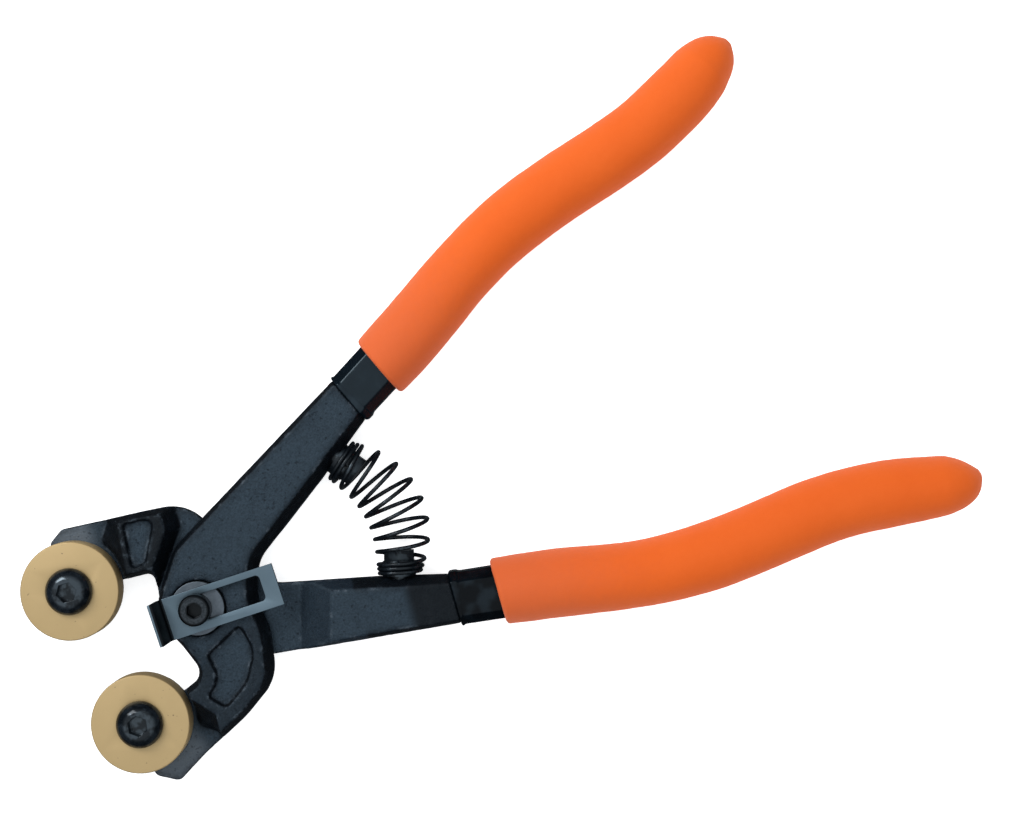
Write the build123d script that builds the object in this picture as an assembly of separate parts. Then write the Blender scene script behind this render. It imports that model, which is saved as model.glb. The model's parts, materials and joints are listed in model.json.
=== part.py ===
# Wheeled nippers for mosaic glass, lying flat with the cutting wheels up.
# Millimetres. Origin on the pivot's axis, at the level the tool lies on.
# +X runs from the pivot to the handles, +Y to the front lever's handle, +Z up.
# The tool is drawn closed, each lever in that frame, and then opened to its rest.
from build123d import *
from math import atan2, cos, degrees, hypot, pi, radians, sin
import os

# ---- levers: two of one forging, the second turned over --------------------------
lever_thickness = 10.0
lap_clearance = 0.1         # between the two halves at the pivot
open_angle = 12.45          # each lever, from closed to open
edge_bevel_depth = 3.4      # of the forging draft round every outline
fall = 0.6                  # of a handle's faces towards its shoulder
fall_run = 11.0
shoulder_reach = 55.5       # from the pivot to the step where the tang starts
tang_width = 8.6
tang_thickness = 6.6
tang_root = 1.0             # how far the tang is let into the shoulder
tang_root_width = 7.7
tang_short = 30.5           # the tang stops this far before the grip's tip
pocket_depth = 1.1
ramp_run = 7.5              # from the lap up to the handle's full thickness
jaw_slope_run = 2.6         # from the lap up to the jaw's full thickness

# ---- wheels and their screws ------------------------------------------------------
wheel_diameter = 22.0
wheel_thickness = 6.0
wheel_bore = 6.1
wheel_reach = 26.4          # along X, from the pivot to a wheel's centre
wheel_proud = 0.5           # the wheel's face above the levers' front faces
nip_gap = 0.6               # between the wheels' edges with the tool closed
lug_inset = 0.6             # the lug behind a wheel is smaller in radius by this
lug_chamfer = 1.0
seat_clearance = 1.2        # between a wheel's edge and the wall round its seat
wheel_screw_diameter = 6.0
wheel_screw_head = 10.5
wheel_screw_head_height = 3.3
wheel_screw_rim = 0.8       # the head's upright edge, below its dome
wheel_screw_flat = 2.9      # the radius of the flat on top of the dome
wheel_screw_hex = 4.0
wheel_screw_socket = 2.0    # the depth of the hexagonal socket
rim_chamfer = 0.2

# ---- pivot ------------------------------------------------------------------------
bolt_diameter = 8.0
bolt_head_diameter = 12.0
bolt_head_sunk = 1.2
bolt_head_proud = 0.8
running_fit = 0.05          # radial, between a pin and what turns on it
seat_fit = 0.15             # radial, round a head or a washer in its recess
thread_fit = 0.03           # radial, between a screw and its tapped hole
washer_diameter = 16.0
washer_thickness = 0.8
nut_across_flats = 13.0
nut_height = 4.0
nut_chamfer = 0.56
nut_recess = 2.3            # how deep the washer and nut sink into the rear lever

# ---- gauge plate and its screw ----------------------------------------------------
plate_width = 9.5
plate_sheet = 1.0
plate_reach = 18.9          # from the screw to the plate's far end
fold_reach = 6.8            # from the screw to the start of the bend
bend_radius = 0.5
flange_height = 10.0        # above the plate
slot_width = 5.9
slot_land = 3.5             # left between the slot and the plate's far end
slot_corner = 1.0
slot_off_centre = 0.3       # of the slot in the plate's width
guide_clearance = 0.1       # between the guide boss and the slot, each side
boss_short = 0.1            # the guide boss ends below the plate's top, so the screw grips
plate_swing = -9.8          # the plate's direction at rest, from +X
stop_screw_diameter = 4.0
head_over_slot = 0.55       # how far the stop screw's head laps each side of the slot
stop_screw_head_height = 4.0
stop_screw_chamfer = 0.4
stop_screw_hex = 3.0
stop_screw_socket = 2.1
stop_screw_length = 7.5
stop_hole_spare = 1.0       # the tapped hole runs past the screw's end

# ---- spring and the studs that hold it --------------------------------------------
stud_to_shoulder = 10.6     # along X, from a stud to its lever's shoulder
stud_diameter = 5.0
stud_depth = 6.0
stud_hole_spare = 0.3       # the tapped hole runs past the stud's end
stud_neck_diameter = 7.4
stud_neck_length = 3.4
stud_head_flats = 6.6
stud_head_height = 2.3
stud_meeting_gap = 0.2      # left between the two heads when they stop the handles
wire_diameter = 0.95
wire_clearance = 0.1        # between the end coils and a stud
end_gap = 0.1               # between the wire and the wall it bears on
coil_swell = 2.2            # how much the middle coils' radius exceeds the ends'
swell_power = 0.9
close_turns = 2.4
close_pitch = 1.04          # of the close-wound coils, in wire diameters
active_turns = 7.2
first_turn = 0.6            # how far round the stud the wire starts, in turns
bow_extra = 1.3             # the middle stands out past an even bow by this
points_per_turn = 14        # along the wire

# ---- grips ------------------------------------------------------------------------
handle_reach = 176.9        # from the pivot to the rear grip's tip, along X
front_tip_short = 4.2       # the front grip is shorter than the rear one by this
tip_share = 0.84            # of a grip's length, where its tip starts
collar_length = 9.8         # of the liner, left showing before the grip
liner_width = 11.9
liner_thickness = 9.8
liner_chamfer = 2.2
lip_height = 0.3
lip_length = 1.2
liner_end_wall = 2.0        # past the tang's end
grip_thickness = 15.0
grip_extra_depth = 1.4      # near the tip, the grip is deeper than it is wide by this
# Each station of a grip: share of its length, sideways place and width there.
grip_stations = [
    (0.00, 14.8, 15.2),
    (0.11, 16.4, 15.5),
    (0.24, 18.9, 15.0),
    (0.38, 20.1, 15.3),
    (0.53, 18.9, 15.9),
    (0.70, 16.8, 15.3),
    (tip_share, 17.7, 14.9),
    (0.92, 18.8, 13.6),
    (0.965, 19.2, 10.8),
    (0.99, 19.4, 7.2),
]
grip_tip_width = 3.4

# ---- levels, worked out -----------------------------------------------------------
nut_proud = nut_height + washer_thickness - nut_recess
rear_face = max(nut_proud, (grip_thickness - lever_thickness) / 2)
nut_bottom = rear_face - nut_proud
nut_top = nut_bottom + nut_height
mid_plane = rear_face + lever_thickness / 2
front_face = rear_face + lever_thickness
half_thickness = lever_thickness / 2
wheel_front = front_face + wheel_proud
seat_level = wheel_front - wheel_thickness
plate_level = front_face + bolt_head_proud
plate_top = plate_level + plate_sheet
flange_top = plate_top + flange_height
wheel_radius = wheel_diameter / 2
wheel_offset = wheel_radius + nip_gap / 2
lug_radius = wheel_radius - lug_inset
seat_radius = wheel_radius + seat_clearance
wheel_place = (-wheel_reach, -wheel_offset)
grip_start = shoulder_reach + collar_length
grip_length = handle_reach - grip_start
slot_end = plate_reach - slot_land
boss_radius = slot_width / 2 - guide_clearance
stop_screw_head = slot_width + 2 * head_over_slot
nut_corners = nut_across_flats / cos(pi / 6)
nut_recess_diameter = max(washer_diameter, nut_corners) + 2 * seat_fit
stud_corners = stud_head_flats / cos(pi / 6)
stud_length = stud_neck_length + stud_head_height
far = 200.0                 # longer than anything that a cutter passes through


def rounded_face(corners):
    """A flat face from corners whose first three values are (x, y, radius)."""
    points = [corner[:2] for corner in corners]
    radii = [corner[2] for corner in corners]
    return make_face(FilletPolyline(*points, radius=radii, close=True).edges())


def prism(face, bottom, top):
    """The face extruded between two levels."""
    return extrude(face.moved(Location((0, 0, bottom))), amount=top - bottom, dir=(0, 0, 1))


def rod(diameter, bottom, top, place=(0, 0)):
    """An upright cylinder between two levels."""
    return prism(Circle(diameter / 2).face(), bottom, top).moved(Location((place[0], place[1], 0)))


def hex_bar(flats, bottom, top, place=(0, 0)):
    """An upright hexagonal prism between two levels."""
    shape = RegularPolygon(flats / 2, 6, major_radius=False).face()
    return prism(shape, bottom, top).moved(Location((place[0], place[1], 0)))


# ---- the forging, with its lap half above its middle plane ------------------------
tongue_low = -wheel_offset - wheel_radius - 4.6
seat_edge = -wheel_reach + seat_radius

# Corners as (x, y, radius, bevel), counter-clockwise; a bevel is that of the side
# that starts at its corner. The handle is the same on both levers.
shoulder_outer = (shoulder_reach, 19.3)
shoulder_inner = (shoulder_reach, 8.0)
handle_outer_corners = [
    (*shoulder_outer, 0, 1.1),
    (shoulder_reach - 25.5, 16.7, 60, 1.1),
    (4.2, 13.9, 9, 1.1),
    (-9.3, 5.6, 10, 1.1),
    (-8.7, -4.2, 20, 1.1),
]
handle_inner_corners = [
    (2.6, -23.4, 10, 2.0),
    (8.7, -14.2, 14, 2.0),
    (11.0, -6.5, 12, 2.2),
    (17.0, -0.6, 8, 2.2),
    (shoulder_reach - 16.0, 4.1, 60, 2.2),
    (*shoulder_inner, 0, 0),
]
# The jaws differ where they were ground to take a wheel on the same side of the tool.
front_jaw_corners = [
    (-9.1, -12.2, 3.0, 1.1),
    (-wheel_reach - 4.0, -wheel_offset, 2, 1.1),
    (-wheel_reach - 6.2, tongue_low + 4.4, 1.8, 1.1),
    (-wheel_reach - 2.9, tongue_low, 1.8, 1.4),
    (-21.0, tongue_low + 1.0, 30, 1.4),
    (-8.0, tongue_low + 1.5, 25, 1.4),
]
rear_jaw_corners = [
    (-7.8, -10.2, 1.6, 1.1),
    (-wheel_reach - 4.0, -wheel_offset + 0.4, 2, 1.1),
    (-wheel_reach - 2.8, tongue_low + 4.2, 1.8, 1.1),
    (-wheel_reach + 0.6, tongue_low + 1.8, 1.8, 1.3),
    (-15.6, tongue_low + 2.4, 40, 1.3),
    (-7.0, tongue_low + 2.8, 20, 1.3),
]
front_pocket = [
    (4.6, -8.8, 0.8),
    (-5.2, -9.3, 0.7),
    (-6.6, -14.8, 4),
    (-11.2, -16.5, 0.8),
    (-9.6, -21.0, 1.0),
    (-2.4, -19.8, 8),
    (3.6, -15.2, 6),
]
rear_pocket = [
    (-11.2, -22.6, 0.8),
    (-3.9, -22.1, 1.8),
    (-8.6, -12.6, 1.2),
    (-11.9, -12.4, 0.8),
]
# The wall between a jaw's face and its wheel's seat: its top edge and its foot.
# Each place is (x past the seat's edge, y).
front_wall_top = [(-0.65, 0.0), (-0.25, -14.2), (2.05, -20.6), (0.05, -23.8), (-0.25, -50.0)]
rear_wall_top = [(0.55, 0.0), (1.05, -11.6), (1.55, -17.0), (1.95, -23.2), (1.75, -50.0)]
wall_foot = [(-2.65, 0.0), (-2.65, -14.0), (-3.45, -20.6), (-1.05, -23.8), (-0.85, -50.0)]

# The lap's two ends, at the middle plane: the jaw's slope and the handle's ramp.
jaw_slope_line = [(0.3, -21.5), (0.3, -18.6), (-14.0, 2.0)]
ramp_line = [(12.0, 40.0), (25.0, -6.0)]


# ---- the studs' places, worked out from the handle's inner wall --------------------
stud_reach = shoulder_reach - stud_to_shoulder
wall_start, wall_end = handle_inner_corners[-2], handle_inner_corners[-1]
wall_angle = degrees(atan2(wall_end[1] - wall_start[1], wall_end[0] - wall_start[0]))
wall_rise = (wall_end[1] - wall_start[1]) / (wall_end[0] - wall_start[0])
stud_base = (stud_reach, wall_start[1] + (stud_reach - wall_start[0]) * wall_rise)
stud_way = (sin(radians(wall_angle)), -cos(radians(wall_angle)), 0)
stud_plane = Plane(origin=(*stud_base, mid_plane), x_dir=(0, 0, 1), z_dir=stud_way)


def inset(corners):
    """The outline's corners moved inwards, each side by its own bevel."""
    count = len(corners)
    sides = []
    for i, (x, y, _, bevel) in enumerate(corners):
        next_x, next_y = corners[(i + 1) % count][:2]
        run = hypot(next_x - x, next_y - y)
        along = ((next_x - x) / run, (next_y - y) / run)
        start = (x - along[1] * bevel, y + along[0] * bevel)
        sides.append((start, along))
    moved = []
    for i, (_, _, radius, bevel) in enumerate(corners):
        (ax, ay), (ux, uy) = sides[i - 1]
        (bx, by), (vx, vy) = sides[i]
        turn = ux * vy - uy * vx
        reach = ((bx - ax) * vy - (by - ay) * vx) / turn
        change = -bevel if turn > 0 else bevel
        new_radius = max(radius + change, 0.2) if radius else 0
        moved.append((ax + ux * reach, ay + uy * reach, new_radius))
    return moved


def bevelled_prism(corners, bottom, top):
    """A prism whose upper and lower outlines are bevelled."""
    small = inset(corners)
    levels = [(small, bottom), (corners, bottom + edge_bevel_depth),
              (corners, top - edge_bevel_depth), (small, top)]
    body = None
    for (low, low_z), (high, high_z) in zip(levels, levels[1:]):
        faces = [rounded_face(low).moved(Location((0, 0, low_z))),
                 rounded_face(high).moved(Location((0, 0, high_z)))]
        slab = loft(faces, ruled=True)
        body = slab if body is None else body + slab
    return body


def lap_cutter():
    """What is taken from below the lap so that the other lever passes."""
    top_level = lap_clearance / 2
    depth = half_thickness + 1
    grow = (depth + top_level) / half_thickness
    sections = []
    for level, share in ((top_level, 0.0), (-depth, grow)):
        left = [(x - jaw_slope_run * share, y) for x, y in jaw_slope_line]
        right = [(x + ramp_run * share, y) for x, y in ramp_line]
        corners = [(left[0][0], -far), *left, (left[-1][0], far), (right[0][0], far),
                   *right, (right[-1][0], -far)]
        face = make_face(Polyline(*corners, close=True).edges())
        sections.append(face.moved(Location((0, 0, level))))
    return loft(sections, ruled=True)


def shoulder_cutter():
    """The slight fall of a handle's face towards its shoulder."""
    start = shoulder_reach - fall_run
    side = make_face(Polyline((start, half_thickness), (shoulder_reach, half_thickness - fall),
                              (shoulder_reach, far), (start, far), close=True).edges())
    return extrude(Plane.XZ * side, amount=far, both=True)


def forging(jaw_corners):
    """One lever before its seat and holes are cut, lap half up."""
    corners = handle_outer_corners + jaw_corners + handle_inner_corners
    body = bevelled_prism(corners, -half_thickness, half_thickness)
    lug = rod(2 * lug_radius, -half_thickness, half_thickness, (-wheel_reach, -wheel_offset))
    body += chamfer(lug.edges().filter_by(GeomType.CIRCLE), lug_chamfer)
    body -= lap_cutter()
    body -= prism(rounded_face(front_pocket), half_thickness - pocket_depth, far)
    body -= prism(rounded_face(rear_pocket), -far, pocket_depth - half_thickness)
    return body - shoulder_cutter() - shoulder_cutter().mirror(Plane.XY)


def turned(point, angle):
    """A point of the plan, turned about the pivot."""
    a = radians(angle)
    return (point[0] * cos(a) - point[1] * sin(a), point[0] * sin(a) + point[1] * cos(a))


# ---- handles: a tang, a dipped liner over it and a foam grip over that ------------
shoulder_middle = (shoulder_outer[1] + shoulder_inner[1]) / 2
handle_points = [(shoulder_reach, shoulder_middle)]
handle_points += [(grip_start + share * grip_length, side) for share, side, _ in grip_stations]
handle_points.append((handle_reach, grip_stations[-1][1]))
handle_path = Spline(*handle_points)
handle_length = handle_path.length
tang_length = handle_length - tang_short


def cross_plane(distance, square=False):
    """The plane across the handle at a distance along it; its X is sideways."""
    share = min(max(distance / handle_length, 0), 1)
    point, tangent = handle_path @ share, handle_path % share
    normal = Vector(1, 0, 0) if square else tangent
    return Plane(origin=point, x_dir=(-normal.Y, normal.X, 0), z_dir=normal)


def bar_along(start, end, section, square_start=False, steps=14):
    """A section carried along the handle between two distances."""
    faces = []
    for step in range(steps + 1):
        distance = start + (end - start) * step / steps
        plane = cross_plane(distance, square_start and step == 0)
        faces.append(plane * section)
    return loft(faces, ruled=True)


def octagon(width, thickness, corner):
    """A rectangle whose corners are cut off."""
    return chamfer(Rectangle(width, thickness).vertices(), corner).face()


def tang():
    """The bar inside a handle, let a little way into the shoulder."""
    bar = bar_along(0, tang_length, Rectangle(tang_width, tang_thickness).face())
    root = Box(2 * tang_root, tang_root_width, tang_thickness)
    return bar + Pos(shoulder_reach, shoulder_middle, 0) * root


def liner_shell():
    """The liner's outside, solid."""
    main = octagon(liner_width, liner_thickness, liner_chamfer)
    lip = octagon(liner_width + 2 * lip_height, liner_thickness + 2 * lip_height, liner_chamfer)
    body = bar_along(0, tang_length + liner_end_wall, main, square_start=True)
    return body + bar_along(0, lip_length, lip, square_start=True, steps=1)


def distance_at(x):
    """How far along the handle its centre line has reached x."""
    low, high = 0.0, 1.0
    for _ in range(30):
        middle = (low + high) / 2
        low, high = (middle, high) if (handle_path @ middle).X < x else (low, middle)
    return low * handle_length


def grip_section(share, width, short):
    """The grip's oval section at a share of its length; a short grip's tip is squeezed."""
    share -= short / grip_length * max(share - tip_share, 0) / (1 - tip_share)
    plane = cross_plane(distance_at(grip_start + share * grip_length), square=share == 0)
    depth = min(grip_thickness, width + grip_extra_depth)
    return plane * Ellipse(width / 2, depth / 2).face()


def grip_shell(short):
    """The grip's outside, solid, its tip short of the handle's reach."""
    stations = [(share, width) for share, _, width in grip_stations] + [(1.0, grip_tip_width)]
    faces = [grip_section(*stations[0], short)]
    for (share, width), (next_share, next_width) in zip(stations, stations[1:]):
        middle = ((share + next_share) / 2, (width + next_width) / 2)
        faces += [grip_section(*middle, short), grip_section(next_share, next_width, short)]
    return loft(faces, ruled=True)


# ---- fasteners --------------------------------------------------------------------
def dome_head():
    """The head of a wheel's screw: an upright rim below a dome with a flat top."""
    radius, height = wheel_screw_head / 2, wheel_screw_head_height
    shoulder = (radius * 0.83, height * 0.72)
    profile = make_face([
        Line((0, 0), (radius, 0)).edge(),
        Line((radius, 0), (radius, wheel_screw_rim)).edge(),
        ThreePointArc((radius, wheel_screw_rim), shoulder, (wheel_screw_flat, height)).edge(),
        Line((wheel_screw_flat, height), (0, height)).edge(),
        Line((0, height), (0, 0)).edge(),
    ])
    return revolve(Plane.XZ * profile, Axis.Z)


def wheel_screw():
    top = wheel_front + wheel_screw_head_height
    body = dome_head().moved(Location((0, 0, wheel_front)))
    body += rod(wheel_screw_diameter, rear_face, wheel_front)
    body -= hex_bar(wheel_screw_hex, top - wheel_screw_socket, top + 1)
    return body.moved(Location((*wheel_place, 0)))


def wheel():
    """A cutting wheel of carbide, its bore over the screw."""
    body = rod(wheel_diameter, seat_level, wheel_front)
    body = chamfer(body.edges().filter_by(GeomType.CIRCLE), rim_chamfer)
    body -= rod(wheel_bore, seat_level - 1, wheel_front + 1)
    return body.moved(Location((*wheel_place, 0)))


def stud():
    """A hexagon-headed stud screwed into a lever's inner wall, for the spring's end."""
    body = rod(stud_diameter, -stud_depth, 0)
    body += rod(stud_neck_diameter, 0, stud_neck_length)
    body += hex_bar(stud_head_flats, stud_neck_length, stud_length)
    return stud_plane * body


def pivot_bolt():
    """The pivot's bolt: a disc head, a boss that guides the gauge, and a tapped hole."""
    body = rod(bolt_diameter, nut_bottom, front_face)
    body += rod(bolt_head_diameter, front_face - bolt_head_sunk, plate_level)
    body += rod(2 * boss_radius, plate_level, plate_top - boss_short)
    hole = stop_screw_diameter + 2 * thread_fit
    return body - rod(hole, plate_top - stop_screw_length - stop_hole_spare, plate_top)


def pivot_washer():
    body = rod(washer_diameter, nut_top, nut_top + washer_thickness)
    return body - rod(bolt_diameter + 2 * running_fit, nut_bottom, front_face)


def pivot_nut():
    body = rod(nut_corners, nut_bottom, nut_top)
    body = chamfer(body.edges().filter_by(GeomType.CIRCLE), nut_chamfer)
    body &= hex_bar(nut_across_flats, nut_bottom, nut_top)
    return body - rod(bolt_diameter + 2 * thread_fit, nut_bottom - 1, front_face)


def stop_screw():
    """A cap screw that clamps the gauge plate."""
    top = plate_top + stop_screw_head_height
    head = rod(stop_screw_head, plate_top, top)
    head = chamfer(head.edges().group_by(Axis.Z)[-1], stop_screw_chamfer)
    body = head + rod(stop_screw_diameter, plate_top - stop_screw_length, plate_top)
    return body - hex_bar(stop_screw_hex, top - stop_screw_socket, top + 1)


def stop_plate():
    """The gauge: a slotted plate with one end bent up, turned to its rest."""
    outer = bend_radius + plate_sheet
    corner = (-fold_reach - bend_radius, plate_top + bend_radius)
    profile = make_face([
        Line((plate_reach, plate_level), (-fold_reach, plate_level)).edge(),
        RadiusArc((-fold_reach, plate_level), (corner[0] - plate_sheet, corner[1]), outer).edge(),
        Line((corner[0] - plate_sheet, corner[1]), (corner[0] - plate_sheet, flange_top)).edge(),
        Line((corner[0] - plate_sheet, flange_top), (corner[0], flange_top)).edge(),
        Line((corner[0], flange_top), corner).edge(),
        RadiusArc(corner, (-fold_reach, plate_top), -bend_radius).edge(),
        Line((-fold_reach, plate_top), (plate_reach, plate_top)).edge(),
        Line((plate_reach, plate_top), (plate_reach, plate_level)).edge(),
    ])
    body = extrude(Plane.XZ * profile, amount=plate_width / 2, both=True)
    body = body.moved(Location((0, -slot_off_centre, 0)))
    half = slot_width / 2
    slot = rounded_face([(0, -half, 0), (slot_end, -half, slot_corner), (slot_end, half, slot_corner),
                         (0, half, 0)])
    body -= prism(slot, plate_level - 1, plate_top + 1) + rod(slot_width, plate_level - 1, plate_top + 1)
    return body.rotate(Axis.Z, plate_swing)


# ---- return spring ----------------------------------------------------------------
def spring_point(share):
    """A point of the spring's bowed centre line, and the way it runs there."""
    base = Vector(*turned(stud_base, open_angle))
    lean = radians(wall_angle + open_angle)
    run = stud_length
    half_chord = base.Y - run * cos(lean)
    radius = half_chord / sin(lean)
    length = 2 * run + 2 * radius * lean
    s = share * length
    if s < run:
        return base.X + s * sin(lean), base.Y - s * cos(lean), lean
    if s > length - run:
        x, y, _ = spring_point(1 - share)
        return x, -y, -lean
    angle = lean - (s - run) / radius
    centre_x = base.X + run * sin(lean) - radius * cos(lean)
    return centre_x + radius * cos(angle), radius * sin(angle), angle


def turn_share(done):
    """How far along the bow the wire is when a share of its turns is made."""
    turns = active_turns + 2 * close_turns
    close = close_turns * wire_diameter * close_pitch / spring_length
    made = done * turns
    if made < close_turns:
        return close * made / close_turns
    if made > turns - close_turns:
        return 1 - close * (turns - made) / close_turns
    return close + (1 - 2 * close) * (made - close_turns) / active_turns


def bow_length():
    """The length of the spring's bowed centre line, wall to wall."""
    lean = radians(wall_angle + open_angle)
    half_chord = turned(stud_base, open_angle)[1] - stud_length * cos(lean)
    return 2 * stud_length + 2 * half_chord / sin(lean) * lean


spring_length = bow_length()


def return_spring():
    """A barrel-shaped compression spring, bowed between the two studs."""
    end_radius = max(stud_neck_diameter, stud_corners) / 2 + wire_clearance + wire_diameter / 2
    turns = active_turns + 2 * close_turns
    count = round(turns * points_per_turn)
    lead = (wire_diameter / 2 + end_gap) / spring_length
    points = []
    for i in range(count + 1):
        share = lead + (1 - 2 * lead) * turn_share(i / count)
        x, y, lean = spring_point(share)
        phase = 2 * pi * (first_turn + turns * i / count)
        radius = end_radius + coil_swell * sin(pi * share) ** swell_power
        across = radius * cos(phase) + bow_extra * sin(pi * share)
        points.append(Vector(x + across * cos(lean), y + across * sin(lean),
                             mid_plane + radius * sin(phase)))
    section = Plane(origin=points[0], z_dir=points[1] - points[0]) * Circle(wire_diameter / 2)
    return sweep(section.face(), Polyline(*points), transition=Transition.RIGHT)


# ---- putting it together ----------------------------------------------------------
def opened(body, front):
    """A piece drawn for the front lever, closed, at its place on either lever at rest."""
    if front:
        return body.rotate(Axis.Z, open_angle)
    return body.mirror(Plane.XZ).rotate(Axis.Z, -open_angle)


def seat_cutter(wall_top):
    """What is taken from above a jaw so that its wheel can sit on it."""
    left = -wheel_reach - wheel_diameter
    sections = []
    for places, level in ((wall_foot, seat_level), (wall_top, front_face)):
        edge = [(seat_edge + past, y) for past, y in places]
        outline = Polyline((left, 0), *edge, (left, edge[-1][1]), close=True)
        sections.append(make_face(outline.edges()).moved(Location((0, 0, level))))
    above = prism(make_face(outline.edges()), front_face, far)
    slope = loft(sections, ruled=True)
    return slope + above + rod(2 * seat_radius, seat_level, far, wheel_place)


def lever(front):
    """A lever at rest: the forging with its tang, seat and holes."""
    body = forging(front_jaw_corners if front else rear_jaw_corners) + tang()
    if not front:
        body = body.rotate(Axis.X, 180)
    body = body.moved(Location((0, 0, mid_plane)))
    cutters = seat_cutter(front_wall_top if front else rear_wall_top)
    cutters += rod(wheel_screw_diameter + 2 * thread_fit, rear_face - 1, far, wheel_place)
    cutters += stud_plane * rod(stud_diameter + 2 * thread_fit, -stud_depth - stud_hole_spare, 1)
    body -= cutters if front else cutters.mirror(Plane.XZ)
    body -= rod(bolt_diameter + 2 * running_fit, rear_face - 1, far)
    if front:
        body -= rod(bolt_head_diameter + 2 * seat_fit, front_face - bolt_head_sunk, far)
    else:
        body -= rod(nut_recess_diameter, rear_face - 1, rear_face + nut_recess)
    return body.rotate(Axis.Z, open_angle if front else -open_angle)


def model():
    """Every piece by its name, at rest with the handles sprung open."""
    liner = liner_shell()
    sleeve = liner - tang()
    pieces = {
        "pivot_bolt": pivot_bolt(),
        "pivot_washer": pivot_washer(),
        "pivot_nut": pivot_nut(),
        "stop_plate": stop_plate(),
        "stop_screw": stop_screw(),
        "return_spring": return_spring(),
    }
    level = Location((0, 0, mid_plane))
    for side, front in (("front", True), ("rear", False)):
        pieces[side + "_lever"] = lever(front)
        pieces[side + "_liner"] = opened(sleeve.moved(level), front)
        grip = grip_shell(front_tip_short if front else 0) - liner
        pieces[side + "_grip"] = opened(grip.moved(level), front)
        pieces[side + "_wheel"] = opened(wheel(), front)
        pieces[side + "_wheel_screw"] = opened(wheel_screw(), front)
        pieces[side + "_spring_stud"] = opened(stud(), front)
    return pieces


def closing_angle():
    """How far the rear lever turns before the two studs' heads meet."""
    slope = radians(wall_angle)
    drop = stud_length * cos(slope) + stud_corners / 2 * sin(slope)
    low = stud_base[1] - drop - stud_meeting_gap / 2
    return 2 * (open_angle + degrees(low / stud_reach))


os.makedirs("parts", exist_ok=True)
for name, body in model().items():
    export_step(body, "parts/" + name + ".step")
print("closes by", round(closing_angle(), 2), "degrees")
print("stop travel", round(slot_end - boss_radius - guide_clearance, 2))
print("wheel place", wheel_place, "turned", turned(wheel_place, open_angle))
print("spring wire bow", round(spring_length, 2))
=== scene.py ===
# Looks of the mosaic glass nippers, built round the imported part
import bpy
import bmesh
import json
import math
import numpy as np
from mathutils import Matrix, Vector, noise


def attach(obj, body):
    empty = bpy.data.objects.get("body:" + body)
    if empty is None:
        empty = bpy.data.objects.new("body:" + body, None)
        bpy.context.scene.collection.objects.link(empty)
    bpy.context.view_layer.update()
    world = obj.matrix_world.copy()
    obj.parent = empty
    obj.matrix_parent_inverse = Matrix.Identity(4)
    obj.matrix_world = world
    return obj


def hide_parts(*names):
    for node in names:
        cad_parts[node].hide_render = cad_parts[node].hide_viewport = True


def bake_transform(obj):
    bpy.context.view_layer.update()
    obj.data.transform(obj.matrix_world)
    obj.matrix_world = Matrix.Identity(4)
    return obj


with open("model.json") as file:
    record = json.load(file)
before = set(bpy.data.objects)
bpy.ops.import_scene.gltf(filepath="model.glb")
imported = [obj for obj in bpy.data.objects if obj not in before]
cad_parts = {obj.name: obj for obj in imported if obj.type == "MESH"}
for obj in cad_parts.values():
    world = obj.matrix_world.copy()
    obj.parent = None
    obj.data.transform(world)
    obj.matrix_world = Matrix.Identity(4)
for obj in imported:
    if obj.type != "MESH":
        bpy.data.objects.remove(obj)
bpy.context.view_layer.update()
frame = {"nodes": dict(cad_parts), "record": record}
nodes = frame["nodes"]
record = frame["record"]
bodyOf = {n: b for b, members in record["behaviour"]["bodies"].items() for n in members}
mm = 0.001
halfOpen = math.radians(12.45)  # each lever's turn from the middle line
turnOf = {"front": halfOpen, "rear": -halfOpen}
sideSign = {"front": 1, "rear": -1}
print("frame loaded:", len(nodes), "nodes")


# shader graphs written as sums
class Wire:
    # a shader socket that can be added, multiplied and so on
    def __init__(self, graph, socket):
        self.graph = graph
        self.socket = socket

    def calc(self, operation, first, second):
        return self.graph.node("ShaderNodeMath", {"operation": operation}, {0: first, 1: second})

    def __add__(self, other):
        return self.calc("ADD", self, other)

    def __radd__(self, other):
        return self.calc("ADD", other, self)

    def __sub__(self, other):
        return self.calc("SUBTRACT", self, other)

    def __rsub__(self, other):
        return self.calc("SUBTRACT", other, self)

    def __mul__(self, other):
        return self.calc("MULTIPLY", self, other)

    def __rmul__(self, other):
        return self.calc("MULTIPLY", other, self)


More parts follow.
